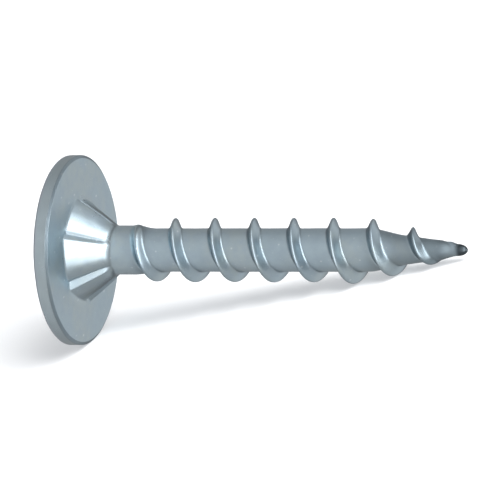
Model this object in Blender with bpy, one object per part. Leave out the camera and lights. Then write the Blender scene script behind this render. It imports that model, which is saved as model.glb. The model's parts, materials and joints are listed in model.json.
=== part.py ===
"""Self-tapping metal screw, number 10 by 1-1/4 inch, with a wide flat washer head.

One cold-headed, thread-rolled piece: a thin round head with a shallow dish and a square
drive recess, a cone with six nibs under the head, a short plain neck, a coarse rolled
thread and a blunt gimlet point.

The screw lies on its side as it comes to rest on a table: the rim of the head and one
thread crest near the point touch the ground, so the axis slopes down to the point.
The axis runs along +X with the point at +X. Metres, +Z up, ground at Z = 0, and the
middle of the outline at X = Y = 0.
"""
import math

import bmesh
import bpy
from mathutils import Matrix, Vector

MM = 0.001

# ---- driving dimensions, in millimetres ------------------------------------------------
# Stations along the axis are measured from the bearing face under the head, positive
# towards the point.

HEAD_DIAMETER = 14.60
HEAD_THICKNESS = 1.17          # bearing face to flat top
HEAD_TOP_FLAT_RADIUS = 6.89    # where the rounded upper edge starts
HEAD_BAND = (-1.00, -0.16)     # straight band of the rim
BEARING_OUTER_RADIUS = 7.05    # where the narrow flat chamfer of the lower edge ends

DISH_RADIUS = 2.55             # shallow cone round the recess
DISH_SLOPE = 0.27              # its depth for each millimetre of radius

RECESS_MOUTH = 2.98            # square recess, across flats where it opens
RECESS_THROAT = 2.66           # just under the rounded lip
RECESS_FLOOR = 2.50            # at the foot of the straight walls
RECESS_LIP_DEPTH = 0.30        # height of the lip
RECESS_DEPTH = 2.40            # straight walls end this far below the flat top
RECESS_POINT = 3.10            # the punched point ends this far below the flat top
RECESS_CORNER = 0.16           # rounding of the four corners

CONE_BASE_RADIUS = 3.90
CONE_END = 2.80                # station where the cone meets the neck
CONE_FILLET = 0.16
NECK_RADIUS = 1.89
NIB_COUNT = 6
NIB_HEIGHT = 0.27
NIB_PHASE = 56.25              # degrees from the upper side towards -Y

THREAD_HAND = 1                # 1 is a right-hand thread
THREAD_PITCH = 3.25            # about 8 threads to the inch, as rolled
THREAD_ROOT_WIDTH = 1.00
THREAD_CREST_WIDTH = 0.16
THREAD_START = 4.25            # station where the thread begins to rise from the neck
THREAD_END = 30.75             # station where it has sunk into the point
THREAD_CREST_STATION = 7.67    # a crest on the side seen from above and in front...
THREAD_CREST_PHASE = -21.0     # ...at this angle from the upper side towards -Y
CORE_RADIUS = 1.665
POINT_START = 23.70            # station where the core begins to taper
LENGTH_UNDER_HEAD = 31.60      # nominally 1-1/4 inch

SEGMENTS = 48                  # columns round the axis; one facet faces the ground

# That facet is wider than the others, so that the screw lies steady on its rim and its
# crests: how far the columns beside the lowest line stand from it, in degrees, when all
# facets are equal and as they are placed.
GROUND_FACET = ((3.75, 9.0), (11.25, 14.0))

# Crest radius of the thread along the axis: it rises out of the neck in half a turn,
# stays level, swells a little at the last full turn and falls away along the point.
CREST_STATIONS = ((THREAD_START, NECK_RADIUS), (4.90, 2.06), (6.00, 2.42), (6.50, 2.46),
                  (20.60, 2.46), (22.30, 2.58), (24.10, 2.34), (25.70, 1.92),
                  (27.40, 1.74), (28.55, 1.16), (29.60, 0.86), (THREAD_END, 0.49))

# Radius of the neck and the core, without the thread.
CORE_STATIONS = ((CONE_END, NECK_RADIUS), (4.85, NECK_RADIUS), (5.65, CORE_RADIUS),
                 (POINT_START, CORE_RADIUS), (24.60, 1.53), (26.00, 1.19),
                 (28.80, 0.82), (29.55, 0.77), (30.15, 0.55), (THREAD_END, 0.46))


def along(stations, u):
    """Radius at station u, straight between the listed stations."""
    if u <= stations[0][0]:
        return stations[0][1]
    for (u0, r0), (u1, r1) in zip(stations, stations[1:]):
        if u <= u1:
            return r0 + (r1 - r0) * (u - u0) / (u1 - u0)
    return stations[-1][1]


def rounded(r0, u0, r1, u1, steps):
    """Points of a quarter ellipse that leaves (r0, u0) along the radius, ends left out."""
    points = []
    for k in range(1, steps):
        a = 0.5 * math.pi * k / steps
        points.append((r0 + (r1 - r0) * math.sin(a), u1 + (u0 - u1) * math.cos(a)))
    return points


def even_angle(i):
    """Angle of a column from the upper side, half a column off so a facet faces down."""
    return 2.0 * math.pi * (i + 0.5) / SEGMENTS


def column_angle(i):
    """The same angle with the facet that faces the ground widened."""
    below = math.degrees(even_angle(i)) - 180.0
    for equal, placed in GROUND_FACET:
        if abs(abs(below) - equal) < 0.1:
            below = math.copysign(placed, below)
            break
    return math.radians(180.0 + below)


def nib_rise(i):
    """1 on a nib's ridge and 0 elsewhere: a nib is one column wide on each side."""
    turn = math.degrees(even_angle(i)) - NIB_PHASE
    step = 360.0 / NIB_COUNT
    off = abs((turn + 0.5 * step) % step - 0.5 * step)
    return 1.0 if off < 180.0 / SEGMENTS else 0.0


def blank_mesh():
    """Head, cone with nibs, neck, thread and point as one closed mesh.

    Local axes: Z runs along the screw to the point, X is the upper side, and Y follows
    by the right-hand rule.
    """
    bm = bmesh.new()

    def vertex(u, r, i, angle=column_angle):
        a = angle(i)
        return bm.verts.new((r * math.cos(a) * MM, r * math.sin(a) * MM, u * MM))

    def ring(u, r):
        return [vertex(u, r, i) for i in range(SEGMENTS)]

    def bridge(first, second):
        for i in range(SEGMENTS):
            k = (i + 1) % SEGMENTS
            bm.faces.new((first[i], first[k], second[k], second[i]))

    def close(ring_, centre, up_axis):
        for i in range(SEGMENTS):
            k = (i + 1) % SEGMENTS
            if up_axis:
                bm.faces.new((ring_[i], ring_[k], centre))
            else:
                bm.faces.new((ring_[k], ring_[i], centre))

    # Head, from the middle of the dish out over the rim to the bearing face.
    top = -HEAD_THICKNESS
    rim = 0.5 * HEAD_DIAMETER
    profile = [(DISH_RADIUS, top), (HEAD_TOP_FLAT_RADIUS, top)]
    profile += rounded(HEAD_TOP_FLAT_RADIUS, top, rim, HEAD_BAND[0], 3)
    profile += [(rim, HEAD_BAND[0]), (rim, HEAD_BAND[1]), (BEARING_OUTER_RADIUS, 0.0)]
    rings = [ring(u, r) for r, u in profile]
    dish_centre = bm.verts.new((0.0, 0.0, (top + DISH_SLOPE * DISH_RADIUS) * MM))
    close(rings[0], dish_centre, False)

    # Cone under the head. The nibs are ridges on it that stand on the bearing face and
    # run out at the neck.
    slope = (CONE_BASE_RADIUS - NECK_RADIUS) / CONE_END
    cone = [(0.0, CONE_BASE_RADIUS + CONE_FILLET, 1.25),
            (CONE_FILLET, CONE_BASE_RADIUS - slope * CONE_FILLET + 0.03, 1.10),
            (1.40, CONE_BASE_RADIUS - slope * 1.40, 1.0),
            (2.35, CONE_BASE_RADIUS - slope * 2.35, 0.75),
            (CONE_END + 0.05, NECK_RADIUS + 0.03, 0.0)]
    for u, r, share in cone:
        rings.append([vertex(u, r + NIB_HEIGHT * share * nib_rise(i), i, even_angle)
                      for i in range(SEGMENTS)])
    rings.append(ring(CONE_END + 0.45, NECK_RADIUS))

    # Thread: rows of points that climb one pitch in each turn. Rows that would lie
    # before the start or past the end are gathered into one ring there.
    half_root = 0.5 * THREAD_ROOT_WIDTH / THREAD_PITCH
    half_crest = 0.5 * THREAD_CREST_WIDTH / THREAD_PITCH
    rows = ((-0.5, False), (-half_root, False), (-half_crest, True),
            (half_crest, True), (half_root, False))
    first_turn = math.floor((THREAD_START - THREAD_CREST_STATION) / THREAD_PITCH) - 2
    last_turn = math.ceil((THREAD_END - THREAD_CREST_STATION) / THREAD_PITCH) + 2
    start_ring = ring(THREAD_START, along(CORE_STATIONS, THREAD_START))
    end_ring = ring(THREAD_END, along(CORE_STATIONS, THREAD_END))
    grid = []
    snap = 0.12
    for i in range(SEGMENTS):
        turned = (math.degrees(column_angle(i)) - THREAD_CREST_PHASE) / 360.0
        column = []
        for turn in range(first_turn, last_turn):
            for phase, on_crest in rows:
                u = THREAD_CREST_STATION + THREAD_PITCH * (
                    THREAD_HAND * turned + turn + phase)
                if u < THREAD_START + snap:
                    column.append(start_ring[i])
                elif u > THREAD_END - snap:
                    column.append(end_ring[i])
                else:
                    r = along(CORE_STATIONS, u)
                    if on_crest:
                        r = max(r, along(CREST_STATIONS, u))
                    column.append(vertex(u, r, i))
        grid.append(column)
    # The column that closes the turn is the first one, one pitch further along.
    grid.append(grid[0][len(rows):] if THREAD_HAND > 0
                else [start_ring[0]] * len(rows) + grid[0])
    for i in range(SEGMENTS):
        here, there = grid[i], grid[i + 1]
        for j in range(min(len(here), len(there)) - 1):
            corners = []
            for v in (here[j], there[j], there[j + 1], here[j + 1]):
                if v not in corners:
                    corners.append(v)
            if len(corners) > 2:
                bm.faces.new(corners)
    rings.append(start_ring)
    for first, second in zip(rings, rings[1:]):
        bridge(first, second)

    # Blunt end of the point.
    tip = [end_ring, ring(31.15, 0.38), ring(31.44, 0.22)]
    for first, second in zip(tip, tip[1:]):
        bridge(first, second)
    close(tip[-1], bm.verts.new((0.0, 0.0, LENGTH_UNDER_HEAD * MM)), True)

    loose = [v for v in bm.verts if not v.link_faces]
    bmesh.ops.delete(bm, geom=loose, context='VERTS')
    bmesh.ops.triangulate(bm, faces=bm.faces[:])
    bmesh.ops.recalc_face_normals(bm, faces=bm.faces[:])
    mesh = bpy.data.meshes.new("screw")
    bm.to_mesh(mesh)
    bm.free()
    return mesh


def recess_mesh():
    """The punch for the drive recess: a square, slightly tapered and pointed."""
    bm = bmesh.new()
    top = -HEAD_THICKNESS
    lip = top + DISH_SLOPE * (DISH_RADIUS - 0.5 * RECESS_MOUTH)
    stations = ((top - 0.60, RECESS_MOUTH), (lip, RECESS_MOUTH),
                (lip + RECESS_LIP_DEPTH, RECESS_THROAT), (top + RECESS_DEPTH, RECESS_FLOOR))
    rings = []
    for u, across in stations:
        h = 0.5 * across * MM
        rings.append([bm.verts.new((x * h, y * h, u * MM))
                      for x, y in ((1, 1), (-1, 1), (-1, -1), (1, -1))])
    bm.faces.new(rings[0][::-1])
    upright = []
    for lower, upper in zip(rings, rings[1:]):
        for i in range(4):
            k = (i + 1) % 4
            bm.faces.new((lower[i], lower[k], upper[k], upper[i]))
            upright.append(bm.edges.get((lower[i], upper[i])))
    point = bm.verts.new((0.0, 0.0, (top + RECESS_POINT) * MM))
    for i in range(4):
        bm.faces.new((rings[-1][i], rings[-1][(i + 1) % 4], point))
    bmesh.ops.bevel(bm, geom=upright, offset=RECESS_CORNER * MM, offset_type='WIDTH',
                    segments=2, profile=0.5, affect='EDGES', clamp_overlap=True)
    bmesh.ops.triangulate(bm, faces=bm.faces[:])
    bmesh.ops.recalc_face_normals(bm, faces=bm.faces[:])
    mesh = bpy.data.meshes.new("recess_punch")
    bm.to_mesh(mesh)
    bm.free()
    return mesh


def resting_slope(mesh):
    """Angle of the axis when the rim and the foremost low crest both touch the ground."""
    outline = [(v.co.z, v.co.x) for v in mesh.vertices if v.co.x < 0.0]
    rim_u, rim_x = min(outline, key=lambda p: (round(p[1], 7), -p[0]))
    return min(math.atan2(x - rim_x, u - rim_u) for u, x in outline if u - rim_u > 5 * MM)


def zinc():
    material = bpy.data.materials.new("zinc_plate")
    material.use_nodes = True
    shader = material.node_tree.nodes["Principled BSDF"]
    shader.inputs["Base Color"].default_value = (0.33, 0.40, 0.43, 1.0)
    shader.inputs["Metallic"].default_value = 1.0
    shader.inputs["Roughness"].default_value = 0.32
    return material


def main():
    for old in list(bpy.data.objects):
        bpy.data.objects.remove(old, do_unlink=True)
    scene = bpy.context.scene

    blank = blank_mesh()
    slope = resting_slope(blank)
    # Screw axes in the world: along = to the point, up = its upper side.
    axis = Vector((math.cos(slope), 0.0, -math.sin(slope)))
    upper = Vector((math.sin(slope), 0.0, math.cos(slope)))
    side = axis.cross(upper)
    turn = Matrix((upper, side, axis)).transposed().to_4x4()
    lying = [turn @ v.co for v in blank.vertices]
    low = [min(p[k] for p in lying) for k in range(3)]
    high = [max(p[k] for p in lying) for k in range(3)]
    centre = Vector((-0.5 * (low[0] + high[0]), -0.5 * (low[1] + high[1]), -low[2]))

    screw = bpy.data.objects.new("screw", blank)
    scene.collection.objects.link(screw)
    screw.rotation_euler = turn.to_euler()
    screw.location = centre
    screw.data.materials.append(zinc())
    screw.data.shade_smooth()
    screw.data.set_sharp_from_angle(angle=math.radians(28.0))

    punch = bpy.data.objects.new("recess_punch", recess_mesh())
    scene.collection.objects.link(punch)
    punch.parent = screw
    punch.hide_render = True
    punch.display_type = 'WIRE'

    cut = screw.modifiers.new("recess", 'BOOLEAN')
    cut.operation = 'DIFFERENCE'
    cut.solver = 'EXACT'
    cut.object = punch
    return screw


main()
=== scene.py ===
"""Self-tapping screw with a wide washer head: finished surface, light and camera.

The screw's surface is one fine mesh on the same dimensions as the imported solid: turned
head with rounded edges, dish and square recess, cone with nibs, neck, rolled thread with
filleted flanks, and the blunt point.
"""
import json
import math

import bpy
import numpy as np
from mathutils import Matrix, Vector, noise


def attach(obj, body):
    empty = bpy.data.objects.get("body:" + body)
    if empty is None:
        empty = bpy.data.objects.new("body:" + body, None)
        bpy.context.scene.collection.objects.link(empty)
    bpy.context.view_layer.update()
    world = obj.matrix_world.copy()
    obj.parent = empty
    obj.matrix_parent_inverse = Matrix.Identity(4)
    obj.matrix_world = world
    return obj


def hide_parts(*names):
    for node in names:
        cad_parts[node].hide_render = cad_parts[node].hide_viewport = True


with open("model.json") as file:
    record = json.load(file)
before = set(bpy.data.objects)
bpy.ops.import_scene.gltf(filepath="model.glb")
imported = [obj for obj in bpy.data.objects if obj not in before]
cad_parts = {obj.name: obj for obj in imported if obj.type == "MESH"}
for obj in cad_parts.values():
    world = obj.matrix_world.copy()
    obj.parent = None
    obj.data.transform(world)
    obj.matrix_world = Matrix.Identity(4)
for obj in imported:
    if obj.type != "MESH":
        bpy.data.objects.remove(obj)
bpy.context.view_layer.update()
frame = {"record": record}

MM = 0.001

# ---------------------------------------------------------------- the screw's own axes
# They are read from the mount on the bearing face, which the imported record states: its
# normal runs along the screw to the point, and it sits 5.2 mm up the face from the axis.
MOUNT_RADIUS = 5.2
bearing = next(m for m in frame["record"]["mounts"] if m["name"] == "bearing_face")
along_axis = Vector(bearing["axis"]).normalized()
side = along_axis.cross(Vector((0.0, 0.0, 1.0))).normalized()
upper = side.cross(along_axis).normalized()
side = along_axis.cross(upper).normalized()
seat = Vector(bearing["pos_m"]) - upper * (MOUNT_RADIUS * MM)
to_world = Matrix.Translation(seat) @ Matrix((upper, side, along_axis)).transposed().to_4x4()

# ---------------------------------------------------------------- dimensions, millimetres
HEAD_RADIUS = 7.30
HEAD_THICKNESS = 1.17
HEAD_TOP_FLAT_RADIUS = 6.89
HEAD_BAND = (-1.00, -0.16)
BEARING_OUTER_RADIUS = 7.05
DISH_RADIUS = 2.55
DISH_SLOPE = 0.27
RECESS_MOUTH = 2.98
RECESS_THROAT = 2.66
RECESS_FLOOR = 2.50
RECESS_LIP_DEPTH = 0.30
RECESS_DEPTH = 2.40
RECESS_POINT = 3.10
CONE_BASE_RADIUS = 3.90
CONE_END = 2.80
NECK_RADIUS = 1.89
NIB_COUNT = 6
NIB_HEIGHT = 0.25
NIB_PHASE = math.radians(57.3)
# Section of a nib, in degrees round the cone above its ridge and in nib heights: a long
# hollow side below, then a steep side that runs down into a narrow gutter.
NIB_SECTION = ((-28.0, 0.0), (-24.0, 0.03), (-18.0, 0.14), (-12.0, 0.34), (-6.0, 0.63),
               (-2.0, 0.88), (0.0, 1.0), (8.6, -0.70), (12.0, 0.0), (30.0, 0.0))
THREAD_HAND = 1
THREAD_PITCH = 3.25
THREAD_ROOT_WIDTH = 1.00
THREAD_CREST_WIDTH = 0.16
THREAD_START = 4.25
THREAD_END = 30.75
THREAD_CREST_STATION = 7.67
THREAD_CREST_PHASE = math.radians(-21.0)
CORE_RADIUS = 1.665
POINT_START = 23.70
LENGTH_UNDER_HEAD = 31.60
CREST_STATIONS = ((THREAD_START, NECK_RADIUS), (4.90, 2.06), (6.00, 2.42), (6.50, 2.46),
                  (20.60, 2.46), (22.30, 2.58), (24.10, 2.34), (25.70, 1.92),
                  (27.40, 1.74), (28.55, 1.16), (29.60, 0.86), (THREAD_END, 0.49))
CORE_STATIONS = ((CONE_END, NECK_RADIUS), (4.85, NECK_RADIUS), (5.65, CORE_RADIUS),
                 (POINT_START, CORE_RADIUS), (24.60, 1.53), (26.00, 1.19),
                 (28.80, 0.82), (29.55, 0.77), (30.15, 0.55), (THREAD_END, 0.46))

# Columns round the axis: closer together where a nib's ridge and gutter run.
NEAR_RIDGE = (-3.2, -2.2, -1.4, -0.7, 0.0, 0.7, 1.6, 2.7, 3.8, 4.9, 5.8, 6.4, 7.0, 7.8, 8.7, 9.7)
above_ridge = sorted([-30.0 + 2.0 * k for k in range(13)] + list(NEAR_RIDGE)
                     + [11.2 + 1.88 * k for k in range(10)])
angles = np.sort(np.array([(NIB_PHASE + 2.0 * math.pi * n / NIB_COUNT - math.radians(d))
                           % (2.0 * math.pi) for n in range(NIB_COUNT) for d in above_ridge]))
COLUMNS = len(angles)


def smooth_max(a, b, k):
    return np.maximum(a, b) + np.maximum(k - np.abs(a - b), 0.0) ** 2 / (4.0 * k)


def smooth_min(a, b, k):
    return -smooth_max(-np.asarray(a), -np.asarray(b), k)


def eased(stations, u, spread):
    """Radius at station u, along the stations' polyline with its corners eased."""
    us = np.array([s[0] for s in stations])
    rs = np.array([s[1] for s in stations])
    taps = np.linspace(-1.0, 1.0, 9)
    weights = (1.0 - taps ** 2) + 0.05
    weights /= weights.sum()
    total = np.zeros_like(u, dtype=float)
    for t, w in zip(taps, weights):
        total += w * np.interp(u + t * spread, us, rs)
    return total


def quarter(r0, u0, r1, u1, steps, along_first):
    """A quarter ellipse from (r0, u0) to (r1, u1), both ends included."""
    a = 0.5 * np.pi * np.linspace(0.0, 1.0, steps + 1)
    if along_first:
        return list(zip(r1 + (r0 - r1) * np.cos(a), u0 + (u1 - u0) * np.sin(a)))
    return list(zip(r0 + (r1 - r0) * np.sin(a), u1 + (u0 - u1) * np.cos(a)))


def square_radius(half, corner):
    """Distance from the axis to a square with rounded corners, for each column."""
    c = np.abs(np.cos(angles))
    s = np.abs(np.sin(angles))
    straight = half / np.maximum(c, s)
    inner = half - corner
    # Where the ray meets the corner's circle, centred at (inner, inner).
    b = inner * (c + s)
    reach = b * b - (2.0 * inner * inner - corner * corner)
    curved = b + np.sqrt(np.maximum(reach, 0.0))
    hits = (np.minimum(c, s) * straight > inner)
    return np.where(hits, curved, straight)


def dish(r):
    """Station of the head's top face at radius r, with the dish in its middle."""
    return -HEAD_THICKNESS + DISH_SLOPE * smooth_max(np.asarray(DISH_RADIUS - r), 0.0, 0.07)


def nib_height(share):
    """Rise of the nibs for each column: share of the full height at this station."""
    step = 360.0 / NIB_COUNT
    above = (np.degrees(NIB_PHASE - angles) + 0.5 * step) % step - 0.5 * step
    places = [p[0] for p in NIB_SECTION]
    heights = [p[1] for p in NIB_SECTION]
    rise = np.zeros(COLUMNS)
    for t, w in ((-0.9, 0.15), (-0.45, 0.22), (0.0, 0.26), (0.45, 0.22), (0.9, 0.15)):
        rise += w * np.interp(above + t, places, heights)
    return NIB_HEIGHT * share * rise


def head_rows():
    """Rows from the bottom of the recess out over the head to the start of the thread.

    A row is (radius, station), each an array with one value for each column.
    """
    rows = []

    def flat(r, u):
        rows.append((np.full(COLUMNS, float(r)), np.full(COLUMNS, float(u))))

    top = -HEAD_THICKNESS
    # Punched point and straight walls of the recess, from the middle outwards.
    for share in (0.18, 0.42, 0.70, 0.90):
        r = square_radius(0.5 * RECESS_FLOOR, 0.14) * share
        u = top + RECESS_POINT - (RECESS_POINT - RECESS_DEPTH) * share ** 1.15
        rows.append((r, np.full(COLUMNS, u)))
    foot = square_radius(0.5 * RECESS_FLOOR, 0.14)
    rows.append((foot * 0.975, np.full(COLUMNS, top + RECESS_DEPTH + 0.04)))
    rows.append((foot, np.full(COLUMNS, top + RECESS_DEPTH - 0.06)))
    lip_out = square_radius(0.5 * RECESS_MOUTH, 0.26)
    lip_in = square_radius(0.5 * RECESS_THROAT, 0.16)
    lip_top = dish(lip_out)
    lip_foot = dish(0.5 * RECESS_MOUTH) + RECESS_LIP_DEPTH
    for t in (0.30, 0.62, 0.88, 1.0):
        half = RECESS_FLOOR + (RECESS_THROAT - RECESS_FLOOR) * t
        u = (top + RECESS_DEPTH) + (lip_foot - (top + RECESS_DEPTH)) * t
        rows.append((square_radius(0.5 * half, 0.14 + 0.02 * t), np.full(COLUMNS, u)))
    # Rounded lip, then the dish out to the flat top.
    for k in range(1, 9):
        a = 0.5 * np.pi * k / 8
        r = lip_in + (lip_out - lip_in) * (1.0 - np.cos(a))
        u = lip_foot + (lip_top - lip_foot) * np.sin(a)
        rows.append((r, u))
    for t in (0.15, 0.35, 0.55, 0.72, 0.84, 0.93):
        r = lip_out + (2.46 - lip_out) * t
        rows.append((r, dish(r)))
    for r in (2.46, 2.51, 2.55, 2.59, 2.64, 2.72, 3.0, 3.8, 4.8, 5.8, 6.50, 6.78):
        flat(r, dish(r))
    for r, u in quarter(HEAD_TOP_FLAT_RADIUS, top, HEAD_RADIUS, HEAD_BAND[0], 9, False):
        flat(r, u)
    for t in (0.25, 0.5, 0.75):
        flat(HEAD_RADIUS, HEAD_BAND[0] + (HEAD_BAND[1] - HEAD_BAND[0]) * t)
    # Narrow chamfer with crisp corners between the rim and the bearing face.
    for k in range(7):
        a = math.radians(60.0) * k / 6
        flat(HEAD_RADIUS - 0.03 * (1.0 - math.cos(a)), HEAD_BAND[1] - 0.02 + 0.03 * math.sin(a))
    flat(0.5 * (HEAD_RADIUS + BEARING_OUTER_RADIUS) - 0.01, 0.5 * HEAD_BAND[1])
    for r, u in ((0.015, -0.012), (0.0, -0.005), (-0.015, -0.001), (-0.03, 0.0), (-0.06, 0.0)):
        flat(BEARING_OUTER_RADIUS + r, u)
    for r in (6.80, 6.50, 6.00, 5.50, 5.00, 4.65, 4.42):
        flat(r, 0.0)

    # Cone with its nibs, eased into the bearing face and into the neck.
    slope = (CONE_BASE_RADIUS - NECK_RADIUS) / CONE_END
    stations = np.concatenate([[0.0, 0.006, 0.018, 0.035, 0.06, 0.09, 0.14, 0.24],
                               np.linspace(0.40, 2.4, 13), np.linspace(2.5, 3.15, 10),
                               np.linspace(3.35, 4.15, 5)])
    for u in stations:
        r = float(smooth_max(CONE_BASE_RADIUS - slope * u, NECK_RADIUS, 0.18))
        fillet = 0.10
        if u < fillet:
            r += fillet * (1.0 - math.sqrt(max(0.0, 1.0 - (1.0 - u / fillet) ** 2)))
        share = float(np.interp(u, [0.0, 0.3, 1.5, 2.3, 2.75, 3.0], [1.1, 1.1, 0.9, 0.62, 0.2, 0.0]))
        rows.append((r + nib_height(share), np.full(COLUMNS, float(u))))
    return rows


def thread_grid():
    """Rows that climb one pitch in each turn: distance from the crest, in millimetres."""
    near = [0.0, 0.05, 0.09, 0.14, 0.21, 0.29, 0.37, 0.44, 0.50, 0.57, 0.66, 0.85, 1.15]
    steps = sorted([-d for d in near[1:]] + near + [-0.5 * THREAD_PITCH])
    first = math.floor((THREAD_START - THREAD_CREST_STATION) / THREAD_PITCH) - 2
    last = math.ceil((THREAD_END - THREAD_CREST_STATION) / THREAD_PITCH) + 2
    turned = (angles - THREAD_CREST_PHASE) / (2.0 * np.pi)
    us, offs = [], []
    for turn in range(first, last):
        for d in steps:
            us.append(THREAD_CREST_STATION + THREAD_PITCH * (THREAD_HAND * turned + turn) + d)
            offs.append(d)
    return np.array(us), np.array(offs), len(steps)


def thread_radius(u, off):
    """Radius on the thread: core, root fillets, 60-degree flanks and rounded crest."""
    core = eased(CORE_STATIONS, u, 0.45)
    crest = eased(CREST_STATIONS, u, 0.30)
    # Rolled crests aren't perfectly even.
    crest = crest + 0.018 * np.sin(2.1 * u + 0.6) * np.sin(0.9 * u) * (crest - core)
    rise = np.maximum(crest - core, 0.0)
    flank = 0.5 * (THREAD_ROOT_WIDTH - THREAD_CREST_WIDTH)
    t = (0.5 * THREAD_ROOT_WIDTH - np.abs(off)[:, None]) / flank
    shape = smooth_min(smooth_max(t, 0.0, 0.24), 1.0, 0.16)
    return core + rise * np.clip(shape, 0.0, None)


def screw_mesh():
    points, faces = [], []

    def place(r, u, i):
        points.append((r * math.cos(angles[i]) * MM, r * math.sin(angles[i]) * MM, u * MM))
        return len(points) - 1

    def ring(row):
        r, u = row
        return [place(r[i], u[i], i) for i in range(COLUMNS)]

    def bridge(a, b):
        for i in range(COLUMNS):
            k = (i + 1) % COLUMNS
            faces.append((a[i], b[i], b[k], a[k]))

    rings = [ring(row) for row in head_rows()]
    points.append((0.0, 0.0, (-HEAD_THICKNESS + RECESS_POINT) * MM))
    middle = len(points) - 1
    for i in range(COLUMNS):
        faces.append((middle, rings[0][i], rings[0][(i + 1) % COLUMNS]))

    start = ring((np.full(COLUMNS, float(eased(CORE_STATIONS, np.array(THREAD_START), 0.45))),
                  np.full(COLUMNS, THREAD_START)))
    end_radius = float(eased(CORE_STATIONS, np.array(THREAD_END), 0.45))
    end = ring((np.full(COLUMNS, end_radius), np.full(COLUMNS, THREAD_END)))
    rings.append(start)
    for a, b in zip(rings, rings[1:]):
        bridge(a, b)

    us, offs, period = thread_grid()
    radii = thread_radius(us, offs)
    snap = 0.02
    grid = []
    for i in range(COLUMNS):
        column = []
        for j in range(len(us)):
            u = us[j][i]
            if u < THREAD_START + snap:
                column.append(start[i])
            elif u > THREAD_END - snap:
                column.append(end[i])
            else:
                column.append(place(radii[j][i], u, i))
        grid.append(column)
    grid.append(grid[0][period:] if THREAD_HAND > 0 else [start[0]] * period + grid[0])
    for i in range(COLUMNS):
        here, there = grid[i], grid[i + 1]
        for j in range(min(len(here), len(there)) - 1):
            corners = []
            for v in (here[j], here[j + 1], there[j + 1], there[j]):
                if v not in corners:
                    corners.append(v)
            if len(corners) > 2:
                faces.append(tuple(corners))

    # Blunt end.
    tip = [end]
    for k in range(1, 15):
        a = 0.5 * math.pi * k / 15
        tip.append(ring((np.full(COLUMNS, end_radius * math.cos(a)),
                         np.full(COLUMNS, THREAD_END
                                 + (LENGTH_UNDER_HEAD - THREAD_END) * math.sin(a)))))
    for a, b in zip(tip, tip[1:]):
        bridge(a, b)
    points.append((0.0, 0.0, LENGTH_UNDER_HEAD * MM))
    last = len(points) - 1
    for i in range(COLUMNS):
        faces.append((last, tip[-1][(i + 1) % COLUMNS], tip[-1][i]))

    used = sorted({v for f in faces for v in f})
    renumber = {old: new for new, old in enumerate(used)}
    mesh = bpy.data.meshes.new("screw_surface")
    mesh.from_pydata([points[v] for v in used], [],
                     [tuple(renumber[v] for v in f) for f in faces])
    mesh.validate()
    mesh.update()
    return mesh


def keep_axes(mesh):
    """Stores each point's place in the screw's own axes, for the material to read."""
    own = mesh.attributes.new("screw_axes", 'FLOAT_VECTOR', 'POINT')
    own.data.foreach_set("vector", [c for v in mesh.vertices for c in v.co])


def unevenness(mesh):
    """Slight waviness of headed and rolled metal, a few thousandths of a millimetre."""
    for v in mesh.vertices:
        p = v.co / MM
        soft = (noise.noise_vector(p * 0.55) * 0.012
                + noise.noise_vector(p * 1.7 + Vector((9, 4, 2))) * 0.006)
        v.co += soft * MM
    mesh.update()


# ---------------------------------------------------------------- material
def new_material(name):
    material = bpy.data.materials.new(name)
    material.use_nodes = True
    tree = material.node_tree
    tree.nodes.clear()
    output = tree.nodes.new("ShaderNodeOutputMaterial")
    shader = tree.nodes.new("ShaderNodeBsdfPrincipled")
    tree.links.new(shader.outputs["BSDF"], output.inputs["Surface"])
    return material, tree, shader


def math_node(tree, operation, a, b=None, clamp=False):
    node = tree.nodes.new("ShaderNodeMath")
    node.operation = operation
    node.use_clamp = clamp
    for socket, value in zip(node.inputs, (a, b)):
        if value is None:
            continue
        if isinstance(value, (int, float)):
            socket.default_value = value
        else:
            tree.links.new(value, socket)
    return node.outputs[0]


def ramp(tree, value, low, high, to_low=0.0, to_high=1.0, smooth=True):
    node = tree.nodes.new("ShaderNodeMapRange")
    node.interpolation_type = 'SMOOTHSTEP' if smooth else 'LINEAR'
    tree.links.new(value, node.inputs["Value"])
    node.inputs["From Min"].default_value = low
    node.inputs["From Max"].default_value = high
    node.inputs["To Min"].default_value = to_low
    node.inputs["To Max"].default_value = to_high
    return node.outputs["Result"]


def noise_node(tree, vector, scale, detail=3.0, roughness=0.5, distortion=0.0):
    node = tree.nodes.new("ShaderNodeTexNoise")
    tree.links.new(vector, node.inputs["Vector"])
    node.inputs["Scale"].default_value = scale
    node.inputs["Detail"].default_value = detail
    node.inputs["Roughness"].default_value = roughness
    node.inputs["Distortion"].default_value = distortion
    return node.outputs["Fac"]


def mix_colour(tree, factor, a, b, blend='MIX'):
    node = tree.nodes.new("ShaderNodeMix")
    node.data_type = 'RGBA'
    node.blend_type = blend
    node.clamp_factor = True
    for socket, value in ((node.inputs[0], factor), (node.inputs[6], a), (node.inputs[7], b)):
        if isinstance(value, (int, float)):
            socket.default_value = value
        elif isinstance(value, tuple):
            socket.default_value = value
        else:
            tree.links.new(value, socket)
    return node.outputs[2]


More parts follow.
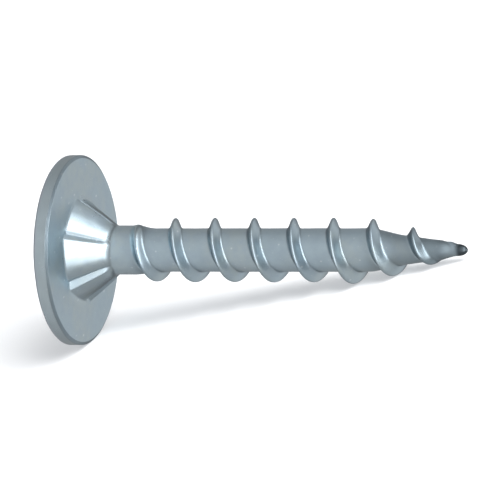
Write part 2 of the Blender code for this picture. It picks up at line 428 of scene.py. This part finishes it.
def zinc_material():
    """Bright bluish zinc plating over cold-formed steel."""
    material, tree, shader = new_material("zinc_plating")
    own = tree.nodes.new("ShaderNodeAttribute")
    own.attribute_type = 'GEOMETRY'
    own.attribute_name = "screw_axes"
    place = own.outputs["Vector"]
    parts = tree.nodes.new("ShaderNodeSeparateXYZ")
    tree.links.new(place, parts.inputs[0])
    x, y, z = parts.outputs
    radius = math_node(tree, 'SQRT', math_node(
        tree, 'ADD', math_node(tree, 'MULTIPLY', x, x), math_node(tree, 'MULTIPLY', y, y)))

    # Plating tint: blue-grey, drifting slightly to violet and to green.
    drift = noise_node(tree, place, 260.0, 2.0)
    fine_drift = noise_node(tree, place, 1500.0, 3.0, 0.6)
    tint = mix_colour(tree, ramp(tree, drift, 0.38, 0.62), (0.455, 0.555, 0.610, 1.0),
                      (0.480, 0.560, 0.585, 1.0))
    tint = mix_colour(tree, ramp(tree, fine_drift, 0.35, 0.75, 0.0, 0.55), tint,
                      (0.415, 0.505, 0.580, 1.0))

    # Painted shade: the flat top of the head is given a deeper, darker blue-green colour.
    top_face_shade = ramp(tree, z, -0.00082, -0.00100)
    tint = mix_colour(tree, math_node(tree, 'MULTIPLY', top_face_shade, 0.62), tint,
                      (0.27, 0.40, 0.46, 1.0))

    # Small pale specks and short streaks in the plating, clearest on the flat top.
    clear = ramp(tree, z, -0.00082, -0.00100, 0.45, 1.0)
    stretch = tree.nodes.new("ShaderNodeMapping")
    stretch.inputs["Rotation"].default_value = (0.4, 0.9, 0.7)
    stretch.inputs["Scale"].default_value = (1.0, 0.55, 1.0)
    tree.links.new(place, stretch.inputs["Vector"])
    for scale, size, amount, chosen in ((1300.0, 0.145, 1.0, 0.25), (3000.0, 0.15, 0.60, 0.35)):
        cells = tree.nodes.new("ShaderNodeTexVoronoi")
        cells.inputs["Scale"].default_value = scale
        tree.links.new(stretch.outputs["Vector"], cells.inputs["Vector"])
        lot = tree.nodes.new("ShaderNodeSeparateXYZ")
        tree.links.new(cells.outputs["Color"], lot.inputs[0])
        speck = math_node(tree, 'MULTIPLY', ramp(tree, cells.outputs["Distance"], size, 0.35 * size),
                          ramp(tree, lot.outputs[0], chosen, chosen + 0.2, 0.0, amount))
        speck = math_node(tree, 'MULTIPLY', speck, clear)
        tint = mix_colour(tree, speck, tint, (0.86, 0.90, 0.92, 1.0))
    pits = noise_node(tree, place, 5200.0, 1.0, 0.5)
    tint = mix_colour(tree, ramp(tree, pits, 0.30, 0.24, 0.0, 0.06), tint,
                      (0.25, 0.30, 0.34, 1.0))

    # Painted highlight on the rounded upper edge of the head: a brighter colour there, running from
    # pale blue to violet.
    bevel_highlight = math_node(tree, 'MULTIPLY', ramp(tree, radius, 0.00689, 0.00705),
                      ramp(tree, z, -0.00080, -0.00098))
    hue = noise_node(tree, place, 170.0, 1.0)
    edge_highlight_tint = mix_colour(tree, ramp(tree, hue, 0.42, 0.60), (0.68, 0.80, 0.92, 1.0),
                           (0.70, 0.66, 0.84, 1.0))
    tint = mix_colour(tree, math_node(tree, 'MULTIPLY', bevel_highlight, 0.85), tint, edge_highlight_tint)

    # The lip of the recess is paler.
    far = math_node(tree, 'MAXIMUM', math_node(tree, 'ABSOLUTE', x), math_node(tree, 'ABSOLUTE', y))
    lip = math_node(tree, 'MULTIPLY', ramp(tree, far, 0.00128, 0.00134),
                    ramp(tree, far, 0.00160, 0.00152))
    lip = math_node(tree, 'MULTIPLY', lip, ramp(tree, z, -0.00045, -0.00060))
    tint = mix_colour(tree, math_node(tree, 'MULTIPLY', lip, 0.8), tint, (0.78, 0.82, 0.84, 1.0))

    # Painted shade deep in the recess: the colour there is nearly black.
    recess_shade = math_node(tree, 'MULTIPLY', ramp(tree, z, -0.00085, 0.0002),
                       ramp(tree, radius, 0.0023, 0.0019))
    recess_shade = math_node(tree, 'MULTIPLY', recess_shade, ramp(tree, z, 0.00215, 0.00200))
    tint = mix_colour(tree, math_node(tree, 'MULTIPLY', recess_shade, 0.9), tint,
                      (0.10, 0.115, 0.13, 1.0))
    # Painted shade: the rim of the head is a little darker and greyer than its faces.
    rim = ramp(tree, radius, 0.00720, 0.00727, 0.0, 0.75)
    tint = mix_colour(tree, rim, tint, (0.425, 0.490, 0.515, 1.0))
    # Painted shade: the narrow chamfer of its lower edge is dark.
    chamfer = math_node(tree, 'MULTIPLY', ramp(tree, radius, 0.00704, 0.00709),
                        ramp(tree, z, -0.00020, -0.00014, 0.0, 0.65))
    tint = mix_colour(tree, chamfer, tint, (0.16, 0.20, 0.23, 1.0))
    # Towards the point the colour is darker, and its end is nearly black.
    point_darkening = math_node(tree, 'MULTIPLY', ramp(tree, z, 0.0250, 0.0285, 0.0, 0.70),
                     ramp(tree, z, 0.0302, 0.0294))
    tint = mix_colour(tree, point_darkening, tint, (0.30, 0.37, 0.41, 1.0))
    end_darkening = ramp(tree, z, 0.03050, 0.03105)
    tint = mix_colour(tree, math_node(tree, 'MULTIPLY', end_darkening, 0.85), tint,
                      (0.035, 0.045, 0.055, 1.0))
    tree.links.new(tint, shader.inputs["Base Color"])
    shader.inputs["Metallic"].default_value = 1.0

    worn = noise_node(tree, place, 900.0, 2.0, 0.5)
    rough = ramp(tree, worn, 0.3, 0.7, 0.27, 0.33)
    rough = math_node(tree, 'ADD', rough, ramp(tree, z, 0.0026, 0.0048, 0.0, 0.05))
    # The bearing face, left as the die made it, is duller.
    face = math_node(tree, 'MULTIPLY', ramp(tree, radius, 0.0042, 0.0045),
                     ramp(tree, z, -0.00030, -0.00005, 0.0, 0.10))
    rough = math_node(tree, 'ADD', rough, face)
    # So are the steep sides and the gutters of the nibs.
    step = 360.0 / NIB_COUNT
    angle = math_node(tree, 'MULTIPLY', math_node(tree, 'ARCTAN2', y, x), 180.0 / math.pi)
    above = math_node(tree, 'SUBTRACT', math.degrees(NIB_PHASE) + 0.5 * step, angle)
    above = math_node(tree, 'SUBTRACT', math_node(tree, 'FLOORED_MODULO', above, step), 0.5 * step)
    steep = math_node(tree, 'MULTIPLY', ramp(tree, above, -1.2, 0.8, 0.0, 0.20),
                      ramp(tree, above, 13.5, 11.5))
    steep = math_node(tree, 'MULTIPLY', steep, ramp(tree, z, 0.0027, 0.0022))
    steep = math_node(tree, 'MULTIPLY', steep, math_node(
        tree, 'MULTIPLY', ramp(tree, z, -0.0001, 0.0001), ramp(tree, radius, 0.0044, 0.0042)))
    rough = math_node(tree, 'ADD', rough, steep)
    tree.links.new(rough, shader.inputs["Roughness"])

    # Fine grain, and faint marks round the shank from the rolling dies.
    grain = noise_node(tree, place, 4200.0, 3.0, 0.65)
    bump = tree.nodes.new("ShaderNodeBump")
    strength = math_node(tree, 'MAXIMUM', ramp(tree, z, 0.0026, 0.0038, 0.0, 0.22),
                         ramp(tree, radius, 0.0041, 0.0047, 0.06, 0.22))
    tree.links.new(math_node(tree, 'MULTIPLY', strength, ramp(tree, z, -0.00082, -0.00100, 1.0, 0.25)),
                   bump.inputs["Strength"])
    bump.inputs["Distance"].default_value = 0.00003
    tree.links.new(grain, bump.inputs["Height"])
    tree.links.new(bump.outputs["Normal"], shader.inputs["Normal"])
    return material


# ---------------------------------------------------------------- the piece
mesh = screw_mesh()
keep_axes(mesh)
unevenness(mesh)
mesh.transform(to_world)
mesh.update()
screw = bpy.data.objects.new("screw_finished", mesh)
bpy.context.scene.collection.objects.link(screw)
mesh.materials.append(zinc_material())
mesh.shade_smooth()
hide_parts("screw")
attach(screw, "root")

# ---------------------------------------------------------------- camera
# The direction is set in the screw's own axes: it looks at the screw from the point's
# side, 22 degrees off square, and the screw lies level across the picture.
OFF_SQUARE = math.radians(22.0)
ELEVATION = math.radians(15.0)
sin_azimuth = ((math.sin(OFF_SQUARE) - math.sin(ELEVATION) * along_axis.z)
               / (math.cos(ELEVATION) * along_axis.x))
azimuth = math.asin(sin_azimuth)
toward = Vector((math.cos(ELEVATION) * math.sin(azimuth),
                 -math.cos(ELEVATION) * math.cos(azimuth), math.sin(ELEVATION)))
across = (along_axis - toward * along_axis.dot(toward)).normalized()
above = toward.cross(across).normalized()

camera_data = bpy.data.cameras.new("camera")
camera_data.sensor_fit = 'HORIZONTAL'
camera_data.sensor_width = 36.0
camera_data.lens = 800.0
camera_data.clip_start = 0.01
camera_data.clip_end = 50.0
camera = bpy.data.objects.new("camera", camera_data)
bpy.context.scene.collection.objects.link(camera)
corners = [v.co.copy() for v in mesh.vertices]
low_x = min(c.dot(across) for c in corners)
high_x = max(c.dot(across) for c in corners)
low_y = min(c.dot(above) for c in corners)
high_y = max(c.dot(above) for c in corners)
FILL = 0.86
middle = (across * (0.5 * (low_x + high_x)) + above * (0.5 * (low_y + high_y))
          + toward * seat.dot(toward))
distance = (high_x - low_x) / FILL * camera_data.lens / camera_data.sensor_width
camera.matrix_world = Matrix.Translation(middle + toward * distance) @ Matrix(
    (across, above, toward)).transposed().to_4x4()
bpy.context.scene.camera = camera

# ---------------------------------------------------------------- floor
lowest = min(c.z for c in corners)
floor_mesh = bpy.data.meshes.new("floor")
reach = 6.0
floor_mesh.from_pydata([(-reach, -reach, lowest), (reach, -reach, lowest),
                        (reach, reach, lowest), (-reach, reach, lowest)], [], [(0, 1, 2, 3)])
floor = bpy.data.objects.new("floor", floor_mesh)
bpy.context.scene.collection.objects.link(floor)
paper, paper_tree, paper_shader = new_material("pale_floor")
paper_shader.inputs["Base Color"].default_value = (0.50, 0.503, 0.506, 1.0)
paper_shader.inputs["Emission Color"].default_value = (0.95, 0.97, 1.0, 1.0)
paper_shader.inputs["Emission Strength"].default_value = 0.42
paper_shader.inputs["Roughness"].default_value = 0.95
paper_shader.inputs["Specular IOR Level"].default_value = 0.1
floor_mesh.materials.append(paper)
floor.visible_glossy = False

# ---------------------------------------------------------------- light
front = (toward - along_axis * toward.dot(along_axis)).normalized()
topward = along_axis.cross(front).normalized()
if topward.z < 0.0:
    topward = -topward
centre = middle.copy()


def softbox(name, direction, distance, size, power, aim=centre, colour=(1.0, 1.0, 1.0)):
    data = bpy.data.lights.new(name, 'AREA')
    data.shape = 'RECTANGLE'
    data.size, data.size_y = size
    data.energy = power
    data.color = colour
    lamp = bpy.data.objects.new(name, data)
    bpy.context.scene.collection.objects.link(lamp)
    away = direction.normalized()
    lamp.location = aim + away * distance
    lamp.rotation_euler = away.to_track_quat('Z', 'Y').to_euler()
    return lamp


key = softbox("key", front * 0.62 + topward * 0.55 + along_axis * 0.50, 0.9, (0.55, 0.80), 18.0)
key.visible_glossy = False      # the metal mirrors the tall strip light below instead

world = bpy.data.worlds.new("studio")
bpy.context.scene.world = world
world.use_nodes = True
sky = world.node_tree
sky.nodes.clear()
sky_out = sky.nodes.new("ShaderNodeOutputWorld")
backdrop = sky.nodes.new("ShaderNodeBackground")
sky.links.new(backdrop.outputs[0], sky_out.inputs["Surface"])
view_dir = sky.nodes.new("ShaderNodeTexCoord").outputs["Generated"]


def facing(direction):
    node = sky.nodes.new("ShaderNodeVectorMath")
    node.operation = 'DOT_PRODUCT'
    sky.links.new(view_dir, node.inputs[0])
    node.inputs[1].default_value = direction.normalized()
    return node.outputs["Value"]


to_point = facing(along_axis)
to_front = facing(front)
to_top = facing(topward)
# A direction is taken apart into its share along the screw and its angle round the screw,
# which is 0 in front and 90 degrees above.
around = math_node(sky, 'MULTIPLY', math_node(sky, 'ARCTAN2', to_top, to_front), 180.0 / math.pi)
turned = math_node(sky, 'COSINE', math_node(sky, 'ARCTAN2', to_top, to_front))
# Even grey room: palest in front, darker above, below and behind, and pale again past the
# point behind the screw. Straight along the screw, both ways, it is dark.
tone = ramp(sky, turned, -1.0, 1.0, 0.27, 0.93, smooth=False)
tone = math_node(sky, 'ADD', tone, ramp(sky, around, -15.0, -90.0, 0.0, 0.10))
tone = math_node(sky, 'ADD', tone, math_node(
    sky, 'MULTIPLY', ramp(sky, around, 100.0, 138.0, 0.0, 0.09), ramp(sky, around, 180.0, 166.0)))
tone = math_node(sky, 'ADD', tone, math_node(
    sky, 'MULTIPLY', ramp(sky, turned, -0.55, -0.88), ramp(sky, to_point, -0.05, 0.28, 0.0, 0.35)))
tone = math_node(sky, 'MULTIPLY', tone, math_node(
    sky, 'SUBTRACT', 1.0, math_node(sky, 'MULTIPLY', ramp(sky, to_point, -0.32, -0.12, 0.0, 0.58),
                                    ramp(sky, to_point, 0.20, 0.02))))
tone = math_node(sky, 'MULTIPLY', tone, ramp(sky, to_point, 0.86, 0.97, 1.0, 1.10))
tone = math_node(sky, 'MULTIPLY', tone, ramp(sky, to_point, -0.46, -0.70, 1.0, 0.36))
dim = math_node(sky, 'MULTIPLY', ramp(sky, around, -34.0, -52.0), ramp(sky, around, -108.0, -80.0))
dim = math_node(sky, 'MULTIPLY', dim, ramp(sky, to_point, 0.02, 0.22, 0.0, 0.42))
tone = math_node(sky, 'MULTIPLY', tone, math_node(sky, 'SUBTRACT', 1.0, dim))
# A tall curved strip light past the point, from below the front to overhead.
middle_line = math_node(sky, 'MULTIPLY', 0.757, math_node(
    sky, 'COSINE', math_node(sky, 'MULTIPLY', around, 0.51 * math.pi / 180.0)))
beside = math_node(sky, 'ABSOLUTE', math_node(sky, 'SUBTRACT', to_point, middle_line))
strip = math_node(sky, 'MULTIPLY', ramp(sky, around, -48.0, -34.0), ramp(sky, around, 96.0, 81.0))
strip = math_node(sky, 'MULTIPLY', strip, ramp(sky, beside, 0.20, 0.12))
tone = math_node(sky, 'ADD', tone, math_node(sky, 'MULTIPLY', strip, 2.4))
# A small lamp almost straight beyond the point glints on the sides of the thread.
glint = facing(along_axis * 0.965 - front * 0.24 + topward * 0.10)
tone = math_node(sky, 'ADD', tone, ramp(sky, glint, 0.982, 0.993, 0.0, 5.0))
sky.links.new(tone, backdrop.inputs["Strength"])
backdrop.inputs["Color"].default_value = (0.97, 0.985, 1.0, 1.0)

plain = sky.nodes.new("ShaderNodeBackground")
plain.inputs["Color"].default_value = (0.95, 0.955, 0.96, 1.0)
plain.inputs["Strength"].default_value = 1.0
pick = sky.nodes.new("ShaderNodeMixShader")
seen = sky.nodes.new("ShaderNodeLightPath").outputs["Is Camera Ray"]
sky.links.new(seen, pick.inputs[0])
sky.links.new(backdrop.outputs[0], pick.inputs[1])
sky.links.new(plain.outputs[0], pick.inputs[2])
sky.links.new(pick.outputs[0], sky_out.inputs["Surface"])

bpy.context.scene.view_settings.view_transform = 'Standard'
bpy.context.scene.view_settings.look = 'None'
